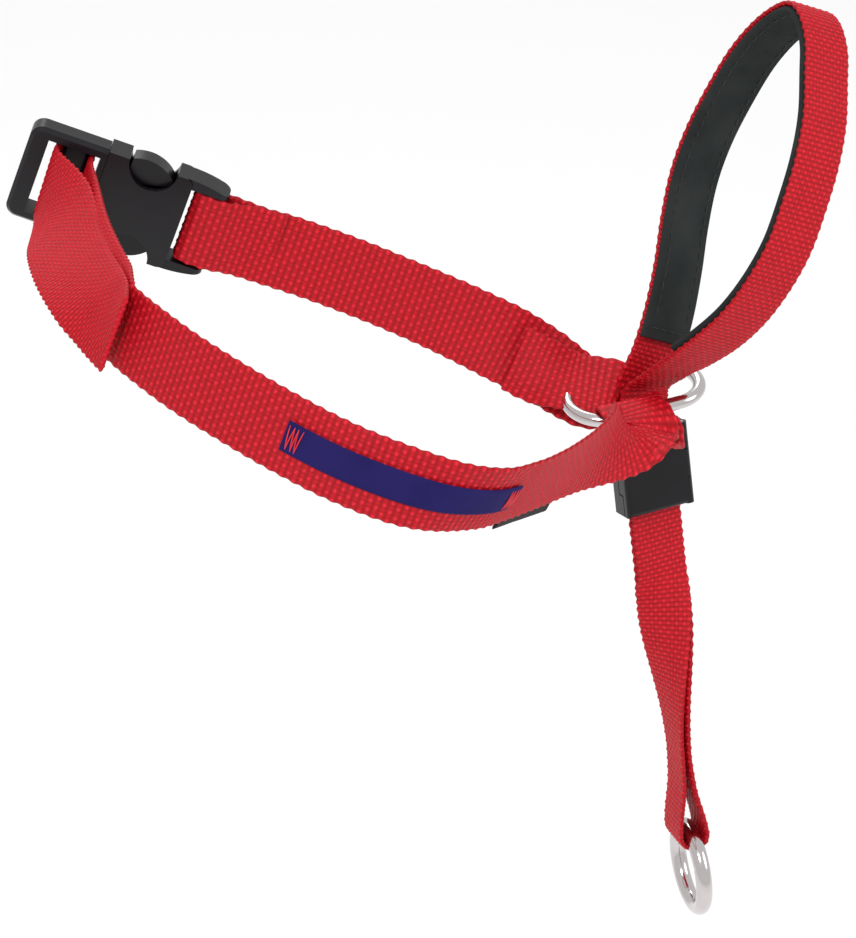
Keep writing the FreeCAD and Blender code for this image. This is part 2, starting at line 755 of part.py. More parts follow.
def buckle_plug():
    half = PLUG_THICK / 2
    frame = crowned(-PLUG_LENGTH, -JOINT_GAP, PLUG_HALF_WIDTH, half, half - CROWN)
    frame = fillet(frame, PLUG_CORNER, lambda e: upright_edge(e) and e.CenterOfMass.x < -PLUG_LENGTH + 1)
    frame = frame.makeChamfer(PLUG_BEVEL, [e for e in frame.Edges if bevelled_edge(e)])
    inner = PLUG_HALF_WIDTH - PLUG_RAIL
    window = slab([(CROSSBAR_WIDTH - PLUG_LENGTH, -inner), (-PLUG_BASE_WIDTH, -inner),
                   (-PLUG_BASE_WIDTH, inner), (CROSSBAR_WIDTH - PLUG_LENGTH, inner)], -PLUG_THICK, PLUG_THICK)
    frame = frame.cut(window)
    bar = Part.makeBox(2 * LADDER_BAR_HALF, 2 * inner + 2, LADDER_BAR_THICK,
                       V(LADDER_BAR_BACK - LADDER_BAR_HALF, -inner - 1, LADDER_BAR_TOP - LADDER_BAR_THICK))
    bar = fillet(bar, LADDER_BAR_THICK * 0.42, lambda e: e.Length > 2 * inner and e.CenterOfMass.y < 1)
    guide = slab([(-1, -GUIDE_HALF_WIDTH), (GUIDE_LENGTH, -GUIDE_HALF_WIDTH * 0.7),
                  (GUIDE_LENGTH, GUIDE_HALF_WIDTH * 0.7), (-1, GUIDE_HALF_WIDTH)], -PRONG_THICK / 2,
                 PRONG_THICK / 2)
    return put_buckle(frame.fuse(bar).fuse(guide))


def prong(side):
    """A springy arm with its button head; side is 1 at the top."""
    inside = PRONG_ROOT - PRONG_ARM / 2
    outside = PRONG_ROOT + PRONG_ARM / 2
    start = V(PRONG_START, inside, 0)
    shoulder = V(HEAD_START, HEAD_SHOULDER, 0)
    tip = V(HEAD_END, TIP_OUTSIDE, 0)
    path = [start, V(PRONG_START, outside, 0), V(HEAD_START - ARM_TAPER, outside + ARM_TAPER, 0), shoulder]
    home = [tip, V(HEAD_END, TIP_INSIDE, 0), V(ARM_END, inside + 2 * ARM_TAPER, 0), start]
    button = Part.Arc(shoulder, V(HEAD_MIDDLE, HEAD_REACH, 0), tip).toShape()
    edges = Part.makePolygon(path).Edges + [button] + Part.makePolygon(home).Edges
    face = Part.Face(Part.Wire(edges))
    if side < 0:
        face = face.mirror(V(0, 0, 0), V(0, 1, 0))
    face.translate(V(0, 0, -PRONG_THICK / 2))
    return put_buckle(face.extrude(V(0, 0, PRONG_THICK)))


if __name__ == "__main__":
    save("neck_strap_near", neck_strap_near())
    save("neck_strap_far", neck_strap_far())
    save("adjuster_tail", adjuster_tail())
    save("woven_label", woven_label())
    save("size_tag", size_tag())
    save("chin_ring", chin_ring())
    save("nose_strap", nose_strap())
    save("nose_lining", nose_lining())
    save("control_strap", control_strap())
    save("control_ring", control_ring())
    save("clamp_body", clamp_body())
    save("clamp_lid", clamp_lid())
    save("clamp_pin", clamp_pin())
    save("buckle_socket", buckle_socket())
    save("buckle_plug", buckle_plug())
    save("prong_upper", prong(1))
    save("prong_lower", prong(-1))
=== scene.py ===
import bpy
import math
import numpy as np
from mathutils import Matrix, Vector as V


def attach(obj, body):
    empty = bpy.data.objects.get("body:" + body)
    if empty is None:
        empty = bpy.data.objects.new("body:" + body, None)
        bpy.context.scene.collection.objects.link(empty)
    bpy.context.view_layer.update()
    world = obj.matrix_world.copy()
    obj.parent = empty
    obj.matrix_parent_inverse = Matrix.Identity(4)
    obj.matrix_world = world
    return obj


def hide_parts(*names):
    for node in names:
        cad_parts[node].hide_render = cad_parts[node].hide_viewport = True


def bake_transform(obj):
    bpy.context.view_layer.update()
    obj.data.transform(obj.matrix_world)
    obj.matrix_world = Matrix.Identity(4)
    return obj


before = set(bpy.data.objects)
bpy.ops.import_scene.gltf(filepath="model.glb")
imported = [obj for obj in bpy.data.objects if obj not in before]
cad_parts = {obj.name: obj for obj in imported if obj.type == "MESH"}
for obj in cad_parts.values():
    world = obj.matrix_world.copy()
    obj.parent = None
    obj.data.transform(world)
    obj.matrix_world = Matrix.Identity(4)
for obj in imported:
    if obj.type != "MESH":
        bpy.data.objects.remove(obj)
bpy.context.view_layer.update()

# Sizes are in millimetres up to the meshes, which are in metres
MM = 0.001

# Camera: the photograph's viewing angle
CAMERA_TARGET = V((3.6, -20.7, -26.1)) * MM
CAMERA_AZIMUTH = -26.0
CAMERA_ELEVATION = 33.0
CAMERA_DISTANCE = 1.3
SENSOR_WIDTH = 36.0
LENS = 235.1

# Webbing
NECK_WIDTH = 19.0
NOSE_WIDTH = 13.0
WEB_THICK = 1.5
NECK_PITCH = 3.2
NOSE_PITCH = 2.3
TAIL_PITCH = 2.0
SCALLOP = 0.16
NECK_FLOATS = 17
NOSE_FLOATS = 13
TAIL_FLOATS = 21
ROWS_PER_PITCH = 10
COLUMNS_PER_FLOAT = 5
RELIEF = 0.3
COLUMN_EASE = 0.92
BAND_COLUMNS = 24
THREAD_RADIUS = 0.2
THREAD_SIDES = 6
SEAM_STITCH = 2.2
SEAM_GAP = 0.7
SEAM_RISE = 0.25
ZIGZAG_STEP = 0.55
ZIGZAG_RISE = 0.22
SPAN_STEPS = 14

# The halter's own axes
NECK_LEAN = math.radians(22.0)
NOSE_LEAN = math.radians(28.0)
DROP_LEAN = math.radians(14.5)
RING_ROLL = math.radians(3.0)
FORWARD = V((1, 0, 0))
LEFT = V((0, 1, 0))
NECK_FORWARD = V((math.cos(NECK_LEAN), 0, -math.sin(NECK_LEAN)))
NECK_UP = V((math.sin(NECK_LEAN), 0, math.cos(NECK_LEAN)))
NOSE_ACROSS = V((math.cos(NOSE_LEAN), 0, -math.sin(NOSE_LEAN)))
NOSE_UP = V((math.sin(NOSE_LEAN), 0, math.cos(NOSE_LEAN)))
DROP = V((0, -math.sin(DROP_LEAN), -math.cos(DROP_LEAN)))
DROP_NEAR = V((0, -math.cos(DROP_LEAN), math.sin(DROP_LEAN)))
RING_SIDE = V((0, math.cos(RING_ROLL), math.sin(RING_ROLL)))
RING_NORMAL = V((0, -math.sin(RING_ROLL), math.cos(RING_ROLL)))

# Chin ring
RING_WIRE = 3.2
RING_BAR_REACH = 8.1
RING_FORWARD = 63.0
RING_LEFT = -15.5
RING_SHIFT = 1.8
RING_HALF_STRAIGHT = 8.5
STRAND_OFFSET = 4.1
WRAP_CLEARANCE = 0.2
LOOSE_CLEARANCE = 0.75
GATHERED_WIDTH = 16.2
GATHER_LENGTH = 30.0

# Buckle
BUCKLE_YAW = math.radians(-30.0)
BUCKLE_TILT = math.radians(8.0)
BUCKLE_ALONG = NECK_FORWARD * math.cos(BUCKLE_YAW) + LEFT * math.sin(BUCKLE_YAW)
BUCKLE_FLAT = BUCKLE_ALONG.cross(NECK_UP)
BUCKLE_ACROSS = NECK_UP * math.cos(BUCKLE_TILT) + BUCKLE_FLAT * math.sin(BUCKLE_TILT)
BUCKLE_OUT = BUCKLE_ALONG.cross(BUCKLE_ACROSS)
SOCKET_BAR_FORWARD = 25.0
SOCKET_BAR_RADIUS = 1.5
LADDER_BAR_BACK = -7.4
LADDER_BAR_HALF = 3.1
LADDER_BAR_TOP = -0.5
LADDER_BAR_THICK = 2.2
PLUG_THICK = 8.0

# Control strap
DROP_STRAIGHT_END = 46.0
TWIST_END = 94.0
DROP_TWIST_DEG = 100.0
DROP_PIVOT = 113.5
LOOP_RADIUS = 2.6
CONTROL_RING_RADIUS = 10.25
CONTROL_WIRE = 4.0
PLY_OFFSET = 0.9


def neck(forward, left, up=0.0):
    """A point in the neck loop's own axes."""
    return NECK_FORWARD * forward + LEFT * left + NECK_UP * up


RING_CENTRE = neck(RING_FORWARD, RING_LEFT)
BUCKLE_CENTRE = neck(-46.5, 62.5)


def nose(left, up):
    """A point in the nose loop's plane, measured from the chin ring."""
    return RING_CENTRE + FORWARD * STRAND_OFFSET + LEFT * left + NOSE_UP * up


def drop(down, near=0.0):
    """A point on the control strap's line, measured from the chin ring."""
    return RING_CENTRE + FORWARD * STRAND_OFFSET + DROP * down + DROP_NEAR * near


def buckle(along, across, out):
    """A point in the buckle's own axes, measured from where plug and socket meet."""
    return BUCKLE_CENTRE + BUCKLE_ALONG * along + BUCKLE_ACROSS * across + BUCKLE_OUT * out


# Materials

def new_material(name):
    material = bpy.data.materials.new(name)
    material.use_nodes = True
    nodes = material.node_tree.nodes
    return material, nodes, material.node_tree.links, nodes["Principled BSDF"]


def node(nodes, kind, **values):
    """A node with the given properties and input values."""
    made = nodes.new(kind)
    for key, value in values.items():
        name = key.replace("_", " ")
        if name in made.inputs:
            made.inputs[name].default_value = value
        else:
            setattr(made, key, value)
    return made


def ramp(nodes, stops):
    made = nodes.new("ShaderNodeValToRGB")
    elements = made.color_ramp.elements
    while len(elements) < len(stops):
        elements.new(0.5)
    for element, (place, colour) in zip(elements, stops):
        element.position = place
        element.color = (*colour, 1)
    return made


def webbing_material(name, groove_shade, middle, crest_highlight, fibre):
    """Woven nylon: the grooves are darkened with painted shade and the tops of the floats made pale with a painted
    highlight, with fine fibres.
    """
    material, nodes, links, shader = new_material(name)
    # This attribute is the weave height, the mask for the painted shade and painted highlight.
    height = node(nodes, "ShaderNodeAttribute", attribute_name="crest_highlight")
    uv = node(nodes, "ShaderNodeUVMap", uv_map="strap")
    stretch = node(nodes, "ShaderNodeMapping", Scale=(0.55, 6.0, 1.0))
    links.new(uv.outputs["UV"], stretch.inputs["Vector"])
    fibres = node(nodes, "ShaderNodeTexNoise", Scale=1.6, Detail=4.0, Roughness=0.65)
    links.new(stretch.outputs["Vector"], fibres.inputs["Vector"])
    blotch = node(nodes, "ShaderNodeTexNoise", Scale=0.22, Detail=2.0)
    links.new(uv.outputs["UV"], blotch.inputs["Vector"])
    mixed = node(nodes, "ShaderNodeMath", operation="MULTIPLY_ADD")
    links.new(fibres.outputs["Fac"], mixed.inputs[0])
    mixed.inputs[1].default_value = 0.5
    links.new(height.outputs["Fac"], mixed.inputs[2])
    shift = node(nodes, "ShaderNodeMath", operation="SUBTRACT")
    links.new(mixed.outputs[0], shift.inputs[0])
    shift.inputs[1].default_value = 0.25
    # Painted light: the weave height picks the colour, painted shade in the grooves, the plain red between, and a
    # pinkish painted highlight along the crests.
    tones = ramp(nodes, [(0.0, groove_shade), (0.55, middle), (1.0, crest_highlight)])
    links.new(shift.outputs[0], tones.inputs["Fac"])
    vary = node(nodes, "ShaderNodeHueSaturation")
    value = node(nodes, "ShaderNodeMapRange")
    value.inputs["To Min"].default_value = 0.88
    value.inputs["To Max"].default_value = 1.12
    links.new(blotch.outputs["Fac"], value.inputs["Value"])
    links.new(value.outputs["Result"], vary.inputs["Value"])
    links.new(tones.outputs["Color"], vary.inputs["Color"])
    links.new(vary.outputs["Color"], shader.inputs["Base Color"])
    bump = node(nodes, "ShaderNodeBump", Strength=fibre, Distance=0.0002)
    links.new(fibres.outputs["Fac"], bump.inputs["Height"])
    links.new(bump.outputs["Normal"], shader.inputs["Normal"])
    shader.inputs["Roughness"].default_value = 0.5
    shader.inputs["Specular IOR Level"].default_value = 0.22
    return material


def grain_material(name, colour, pale, roughness, scale, strength, distance, specular):
    """A surface with an even fine grain, worked out in the object's own space."""
    material, nodes, links, shader = new_material(name)
    place = node(nodes, "ShaderNodeTexCoord")
    grain = node(nodes, "ShaderNodeTexNoise", Scale=scale, Detail=5.0, Roughness=0.6)
    links.new(place.outputs["Object"], grain.inputs["Vector"])
    broad = node(nodes, "ShaderNodeTexNoise", Scale=scale * 0.04, Detail=3.0)
    links.new(place.outputs["Object"], broad.inputs["Vector"])
    tones = ramp(nodes, [(0.35, colour), (0.75, pale)])
    links.new(broad.outputs["Fac"], tones.inputs["Fac"])
    links.new(tones.outputs["Color"], shader.inputs["Base Color"])
    rough = node(nodes, "ShaderNodeMapRange")
    rough.inputs["To Min"].default_value = roughness - 0.06
    rough.inputs["To Max"].default_value = roughness + 0.06
    links.new(broad.outputs["Fac"], rough.inputs["Value"])
    links.new(rough.outputs["Result"], shader.inputs["Roughness"])
    bump = node(nodes, "ShaderNodeBump", Strength=strength, Distance=distance)
    links.new(grain.outputs["Fac"], bump.inputs["Height"])
    links.new(bump.outputs["Normal"], shader.inputs["Normal"])
    shader.inputs["Specular IOR Level"].default_value = specular
    return material


def metal_material(name, colour, roughness, scale):
    """Polished plating with faint polishing marks."""
    material, nodes, links, shader = new_material(name)
    place = node(nodes, "ShaderNodeTexCoord")
    marks = node(nodes, "ShaderNodeTexNoise", Scale=scale, Detail=3.0)
    links.new(place.outputs["Object"], marks.inputs["Vector"])
    rough = node(nodes, "ShaderNodeMapRange")
    rough.inputs["To Min"].default_value = roughness * 0.6
    rough.inputs["To Max"].default_value = roughness * 1.5
    links.new(marks.outputs["Fac"], rough.inputs["Value"])
    links.new(rough.outputs["Result"], shader.inputs["Roughness"])
    tones = ramp(nodes, [(0.3, colour), (0.8, tuple(c * 0.93 for c in colour))])
    links.new(marks.outputs["Fac"], tones.inputs["Fac"])
    links.new(tones.outputs["Color"], shader.inputs["Base Color"])
    shader.inputs["Metallic"].default_value = 1.0
    return material


# The darkest red is painted shade for the grooves and the palest red a painted highlight for the crests; the
# middle red is the webbing's own colour.
RED_WEBBING = webbing_material("red_webbing", (0.26, 0.0015, 0.005), (0.58, 0.004, 0.014),
                               (0.76, 0.022, 0.048), 0.5)
RED_THREAD = grain_material("red_thread", (0.6, 0.015, 0.03), (0.75, 0.06, 0.08), 0.5, 3000, 0.3, 0.0001, 0.4)
DARK_THREAD = grain_material("dark_thread", (0.012, 0.014, 0.014), (0.03, 0.032, 0.032), 0.6, 3000, 0.3, 0.0001,
                             0.4)
NEOPRENE = grain_material("neoprene", (0.018, 0.021, 0.021), (0.03, 0.034, 0.033), 0.85, 2600, 0.5, 0.0002, 0.15)
BLACK_PLASTIC = grain_material("black_plastic", (0.0035, 0.0026, 0.0042), (0.0065, 0.005, 0.0075), 0.34, 1500,
                               0.12, 0.00015, 0.32)
BLUE_LABEL = grain_material("blue_label", (0.012, 0.008, 0.085), (0.018, 0.012, 0.11), 0.8, 2200, 0.35, 0.00015,
                            0.15)
BLACK_TAPE = grain_material("black_tape", (0.008, 0.008, 0.01), (0.015, 0.015, 0.018), 0.7, 2600, 0.4, 0.00015,
                            0.3)
CHROME = metal_material("chrome", (0.62, 0.58, 0.58), 0.12, 220)
STEEL = metal_material("steel_pin", (0.5, 0.5, 0.51), 0.3, 400)


def paint(name, material):
    """Gives a CAD node its material."""
    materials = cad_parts[name].data.materials
    materials.clear()
    materials.append(material)


# Lines that straps follow

def catmull(points, count):
    """A smooth line through the points, count steps to each span."""
    ends = [points[0] * 2 - points[1]] + points + [points[-1] * 2 - points[-2]]
    out = []
    for k in range(len(points) - 1):
        p0, p1, p2, p3 = ends[k:k + 4]
        for step in range(count):
            t = step / count
            cubic = p1 * 3 - p0 - p2 * 3 + p3
            square = p0 * 2 - p1 * 5 + p2 * 4 - p3
            out.append((p1 * 2 + (p2 - p0) * t + square * (t * t) + cubic * (t * t * t)) * 0.5)
    out.append(points[-1])
    return out


def unit_rows(rows):
    return rows / np.linalg.norm(rows, axis=1, keepdims=True)


class Line:
    """A strap's middle line, evenly spaced, with directions along, across and out of it."""

    def __init__(self, points, across, step):
        dense = np.array(catmull(points, SPAN_STEPS))
        cross = np.array(catmull(across, SPAN_STEPS))
        gaps = np.linalg.norm(np.diff(dense, axis=0), axis=1)
        reach = np.concatenate([[0], np.cumsum(gaps)])
        self.length = reach[-1]
        count = max(int(round(self.length / step)), 2) + 1
        self.s = np.linspace(0, self.length, count)
        self.points = np.stack([np.interp(self.s, reach, dense[:, k]) for k in range(3)], axis=1)
        cross = np.stack([np.interp(self.s, reach, cross[:, k]) for k in range(3)], axis=1)
        self.along = unit_rows(np.gradient(self.points, axis=0))
        flat = cross - self.along * np.sum(cross * self.along, axis=1, keepdims=True)
        self.across = unit_rows(flat)
        self.out = np.cross(self.along, self.across)

    def part(self, first, last):
        """The stretch between two distances along the line."""
        piece = object.__new__(Line)
        keep = (self.s >= first) & (self.s <= last)
        piece.points = self.points[keep]
        piece.along = self.along[keep]
        piece.across = self.across[keep]
        piece.out = self.out[keep]
        piece.s = self.s[keep] - self.s[keep][0]
        piece.length = piece.s[-1]
        return piece

    def moved(self, out, across=0.0):
        """The same line, shifted out of the strap's face or across it."""
        piece = object.__new__(Line)
        piece.points = self.points + self.out * out + self.across * across
        piece.along = self.along
        piece.across = self.across
        piece.out = self.out
        piece.s = self.s
        piece.length = self.length
        return piece

    def nearest(self, point):
        """The distance along the line at which it passes a point."""
        return self.s[np.argmin(np.linalg.norm(self.points - np.array(point), axis=1))]

    def index(self, s):
        """The number of the point nearest to distance s along the line."""
        return min(max(int(round(s / self.length * (len(self.s) - 1))), 0), len(self.s) - 1)

    def at(self, s, across, out):
        """The point at distance s along the line, moved across the strap and out of it."""
        k = self.index(s)
        return self.points[k] + self.across[k] * across + self.out[k] * out


# Meshes

def make_object(name, points, faces, material, body, uv=None, crest_highlight=None):
    """A smooth mesh piece from points in millimetres and quads; it rides on the body, if one is given."""
    mesh = bpy.data.meshes.new(name)
    count = len(faces)
    mesh.vertices.add(len(points))
    mesh.vertices.foreach_set("co", (points * MM).astype(np.float32).ravel())
    mesh.loops.add(count * 4)
    mesh.loops.foreach_set("vertex_index", faces.astype(np.int32).ravel())
    mesh.polygons.add(count)
    mesh.polygons.foreach_set("loop_start", np.arange(0, count * 4, 4, dtype=np.int32))
    mesh.update(calc_edges=True)
    mesh.polygons.foreach_set("use_smooth", np.full(count, True))
    if uv is not None:
        layer = mesh.uv_layers.new(name="strap")
        layer.data.foreach_set("uv", uv[faces.ravel()].astype(np.float32).ravel())
    # The weave height that masks the webbing's painted shade and painted highlight.
    if crest_highlight is not None:
        attribute = mesh.attributes.new("crest_highlight", "FLOAT", "POINT")
        attribute.data.foreach_set("value", crest_highlight.astype(np.float32))
    mesh.materials.append(material)
    mesh.validate()
    obj = bpy.data.objects.new(name, mesh)
    bpy.context.scene.collection.objects.link(obj)
    if body:
        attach(obj, body)
    return obj


def strap_faces(rows, columns):
    """Quads of a closed flat tube: a top sheet and a bottom sheet that share their edge columns."""
    ring = 2 * columns
    k = np.arange(rows - 1)[:, None] * ring
    j = np.arange(ring)[None, :]
    after = (j + 1) % ring
    sides = np.stack([k + j, k + after, k + ring + after, k + ring + j], axis=-1).reshape(-1, 4)
    half = np.arange(columns - 1)
    cap = np.stack([half, half + 1, ring - 2 - half, ring - 1 - half], axis=-1)
    return np.concatenate([sides, cap[:, ::-1], cap + (rows - 1) * ring])


def column_places(columns):
    """Places across a strap from -1 to 1, a little closer together at its edges."""
    x = np.linspace(-1, 1, columns)
    return np.sign(x) * np.abs(x) ** COLUMN_EASE


def woven(s, x, floats, pitch):
    """The weave's height, 0 to 1, at distance s along and x from -1 to 1 across."""
    place = (x * 0.5 + 0.5) * floats
    index = np.floor(np.clip(place, 0, floats - 0.001))
    inside = place - index
    ridge = np.sin(np.pi * np.clip(inside, 0.0, 1.0)) ** 0.6
    rib = 0.5 + 0.5 * np.cos(4 * np.pi * s / pitch)
    turn = 0.5 + 0.5 * np.cos(2 * np.pi * (s / pitch + 0.5 * (index % 2)))
    return (0.35 + 0.65 * ridge) * (0.12 + 0.88 * rib * (0.45 + 0.55 * turn))


def tube_section(line, width, thick, columns, lift):
    """Points of a flat closed section swept along the line; lift gives extra height on each face."""
    x = column_places(columns)
    edge = np.sqrt(np.clip(1 - np.abs(x) ** 14, 0, 1)) * 0.82 + 0.18
    top = lift(line.s[:, None], x[None, :], 1)
    low = lift(line.s[:, None], x[None, :], -1)
    wide = (np.broadcast_to(width, len(line.s)) / 2)[:, None] * x[None, :]
    across = line.across[:, None, :] * wide[:, :, None]
    base = line.points[:, None, :] + across
    upper = base + line.out[:, None, :] * ((thick / 2 + top) * edge)[:, :, None]
    lower = base - line.out[:, None, :] * ((thick / 2 + low) * edge)[:, :, None]
    points = np.concatenate([upper, lower[:, ::-1]], axis=1)
    uv_u = np.repeat(line.s[:, None], 2 * columns, axis=1)
    uv_v = np.concatenate([wide, wide[:, ::-1] + wide[:, -1:] * 3], axis=1)
    return points.reshape(-1, 3), np.stack([uv_u, uv_v], axis=-1).reshape(-1, 2)


def webbing(name, line, width, floats, pitch, body):
    """Woven strap with real relief: ribs of staggered floats, and scalloped edges."""
    columns = floats * COLUMNS_PER_FLOAT + 1
    x = column_places(columns)

    def lift(s, across, face):
        return (woven(s + (pitch / 2 if face < 0 else 0), across, floats, pitch) - 1) * RELIEF

    points, uv = tube_section(line, width, WEB_THICK, columns, lift)
    # The weave height on both faces, stored as the mask for painted shade in the grooves and painted highlight on
    # the crests.
    up = woven(line.s[:, None], x[None, :], floats, pitch)
    down = woven(line.s[:, None] + pitch / 2, x[None, :], floats, pitch)
    crest_highlight = np.concatenate([up, down[:, ::-1]], axis=1)
    grid = points.reshape(len(line.s), 2 * columns, 3)
    scallop = SCALLOP * np.cos(2 * np.pi * line.s / pitch)
    both_faces = np.concatenate([x, x[::-1]])
    fade = np.abs(both_faces) ** 6 * np.sign(both_faces)
    grid += line.across[:, None, :] * (scallop[:, None] * fade[None, :])[:, :, None]
    faces = strap_faces(len(line.s), columns)
    return make_object(name, grid.reshape(-1, 3), faces, RED_WEBBING, body, uv, crest_highlight.reshape(-1))


def strap_line(points, across, pitch):
    return Line(points, across, pitch / ROWS_PER_PITCH)


def padded_band(name, line, width, thick, material, body):
    """A smooth band with full edges, such as neoprene, tape or a label."""

    def lift(s, across, face):
        return 0 * s * across

    points, uv = tube_section(line, width, thick, BAND_COLUMNS, lift)
    return make_object(name, points, strap_faces(len(line.s), BAND_COLUMNS), material, body, uv)


def thread(points):
    """Points and quads of one stitch's thread along a polyline, thin at both ends."""
    path = np.array(points, dtype=float)
    along = unit_rows(np.gradient(path, axis=0))
    helper = np.array([0.31, 0.53, 0.79])
    first = unit_rows(np.cross(along, helper))
    second = np.cross(along, first)
    angle = np.linspace(0, 2 * np.pi, THREAD_SIDES, endpoint=False)
    swell = np.sin(np.linspace(0.18, np.pi - 0.18, len(path))) ** 0.5 * THREAD_RADIUS
    ring = (first[:, None, :] * np.cos(angle)[None, :, None] + second[:, None, :] * np.sin(angle)[None, :, None])
    grid = path[:, None, :] + ring * swell[:, None, None]
    k = np.arange(len(path) - 1)[:, None] * THREAD_SIDES
    j = np.arange(THREAD_SIDES)[None, :]
    after = (j + 1) % THREAD_SIDES
    faces = np.stack([k + j, k + THREAD_SIDES + j, k + THREAD_SIDES + after, k + after], axis=-1).reshape(-1, 4)
    return grid.reshape(-1, 3), faces


def stitches(name, runs, material, body):
    """Thread stitches: each run is the short line of one stitch."""
    points = []
    faces = []
    count = 0
    for run in runs:
        some, quads = thread(run)
        points.append(some)
        faces.append(quads + count)
        count += len(some)
    return make_object(name, np.concatenate(points), np.concatenate(faces), material, body)


def stitch_between(a, b, out, rise):
    """One stitch from a to b that arches out of the cloth."""
    t = np.linspace(0, 1, 6)[:, None]
    return a + (b - a) * t + np.asarray(out) * (np.sin(np.pi * t) * rise)


def seam(line, first, last, across, out):
    """Stitches in a row along a strap, at a distance across it and out of it."""
    runs = []
    s = first
    while s + SEAM_STITCH < last:
        a = line.at(s, across, out)
        b = line.at(s + SEAM_STITCH, across, out)
        runs.append(stitch_between(a, b, line.out[line.index(s)] * np.sign(out), SEAM_RISE))
        s += SEAM_STITCH + SEAM_GAP
    return runs


def zigzag(line, first, last, half, out):
    """Stitches that run to and fro across a strap between two distances along it."""
    runs = []
    s = first
    side = 1
    while s < last:
        a = line.at(s, half * side, out)
        b = line.at(s + ZIGZAG_STEP, -half * side, out)
        runs.append(stitch_between(a, b, line.out[line.index(s)] * np.sign(out), ZIGZAG_RISE))
        s += ZIGZAG_STEP
        side = -side
    return runs


def arc(centre, start, side, radius, steps):
    """Points on a half circle; start is at 0 degrees and side at 90."""
    out = []
    for k in range(steps + 1):
        angle = math.radians(180.0 * k / steps)
        out.append(centre + start * (radius * math.cos(angle)) + side * (radius * math.sin(angle)))
    return out


# Neck straps

NEAR_ROUTE = [
    neck(-73.5, -10.5),
    neck(-72.0, -18.0),
    neck(-67.5, -32.0),
    neck(-61.0, -45.0),
    neck(-53.0, -58.0),
    neck(-44.0, -69.0),
    neck(-33.0, -77.0),
    neck(-22.0, -80.5),
    neck(-10.0, -79.0),
    neck(1.0, -73.5),
    neck(12.0, -66.5),
    neck(24.0, -58.0),
    neck(36.0, -49.5, 0.5),
    neck(48.0, -41.0, 0.5),
    neck(57.5, -34.0, -0.5),
]
NEAR_ACROSS = [NECK_UP] * 7 + [
    NECK_UP + LEFT * -0.15,
    NECK_UP + LEFT * -0.3 + NECK_FORWARD * -0.1,
    NECK_UP + LEFT * -0.38 + NECK_FORWARD * -0.15,
    NECK_UP + LEFT * -0.4 + NECK_FORWARD * -0.2,
    NECK_UP * 0.95 + LEFT * -0.4 + NECK_FORWARD * -0.35,
    NECK_UP * 0.8 + LEFT * -0.35 + NECK_FORWARD * -0.6,
    NECK_UP * 0.5 + LEFT * -0.1 + NECK_FORWARD * -0.85,
    FORWARD * -1.0 + NECK_UP * 0.2,
]
NEAR_TOP_OFFSET = -3.4
NEAR_UNDER_OFFSET = -1.5
NEAR_APPROACH = 6.0
RING_TURN_STEPS = 7

FAR_ROUTE = [
    neck(-14.5, 44.0),
    neck(-7.0, 41.5),
    neck(1.0, 37.5),
    neck(10.0, 31.8),
    neck(20.0, 24.0),
    neck(30.0, 14.8),
    neck(40.0, 6.5, -0.8),
    V((44.0, 1.8, -20.6)),
    V((48.6, -3.4, -24.2)),
    V((52.4, -8.6, -26.6)),
]
FAR_ACROSS = [
    NECK_UP + LEFT * -0.08,
    NECK_UP, NECK_UP, NECK_UP, NECK_UP,
    NECK_UP + LEFT * 0.1,
    V((0.34, 0.28, 0.9)),
    V((0.4, 0.34, 0.85)),
    V((0.56, 0.42, 0.7)),
    V((0.66, 0.5, 0.52)),
]
FAR_FOLD = [
    V((55.4, -12.4, -26.4)),
    V((56.6, -14.4, -24.4)),
    V((55.6, -14.2, -22.2)),
    V((52.0, -11.8, -21.4)),
    V((46.6, -8.2, -20.6)),
    V((41.6, -3.6, -19.2)),
    V((37.4, 1.6, -17.4)),
]
FAR_FOLD_ACROSS = [
    V((0.68, 0.58, 0.42)),
    V((0.68, 0.6, 0.4)),
    V((0.66, 0.62, 0.42)),
    V((0.6, 0.7, 0.4)),
    V((0.54, 0.72, 0.44)),
    V((0.44, 0.5, 0.74)),
    V((0.34, 0.28, 0.9)),
]
FOLD_BACK = 5.0
FOLD_RISE = 0.4


def gathered(line, first, last):
    """Widths along a neck strap that is drawn in before its wrap round the ring."""
    share = np.clip((line.s - first) / (last - first), 0.0, 1.0)
    return NECK_WIDTH + (GATHERED_WIDTH - NECK_WIDTH) * share


def ring_turn():
    """The near strap's path round the chin ring's near bar; it drifts forward as it goes under."""
    bar = RING_CENTRE - RING_SIDE * RING_BAR_REACH + FORWARD * NEAR_TOP_OFFSET
    turn = arc(bar, RING_NORMAL, RING_SIDE, (RING_WIRE + WEB_THICK) / 2 + LOOSE_CLEARANCE, RING_TURN_STEPS)
    drift = NEAR_UNDER_OFFSET - NEAR_TOP_OFFSET
    return [point + FORWARD * (drift * k / RING_TURN_STEPS) for k, point in enumerate(turn)]


def near_strap():
    turn = ring_turn()
    route = NEAR_ROUTE + [turn[0] - RING_SIDE * NEAR_APPROACH]
    across = NEAR_ACROSS + [FORWARD * -1]
    under = []
    under_across = []
    shift = FORWARD * (NEAR_UNDER_OFFSET - NEAR_TOP_OFFSET)
    for k in range(len(route) - 1, len(route) - 4, -1):
        along = (route[k] - route[k - 1]).normalized()
        out = along.cross(across[k]).normalized()
        share = (k - len(route) + 4) / 3
        under.append(route[k] - out * (WEB_THICK * (1.25 + 0.9 * share)) + shift * share)
        under_across.append(across[k])
    points = route + turn + under
    crosses = across + [FORWARD * -1] * len(turn) + under_across
    line = strap_line(points, crosses, NECK_PITCH)
    first = line.nearest(NEAR_ROUTE[12])
    width = gathered(line, first, first + GATHER_LENGTH)
    piece = webbing("neck_webbing_near", line, width, NECK_FLOATS, NECK_PITCH, None)
    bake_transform(piece)
    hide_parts("neck_strap_near")
    return line


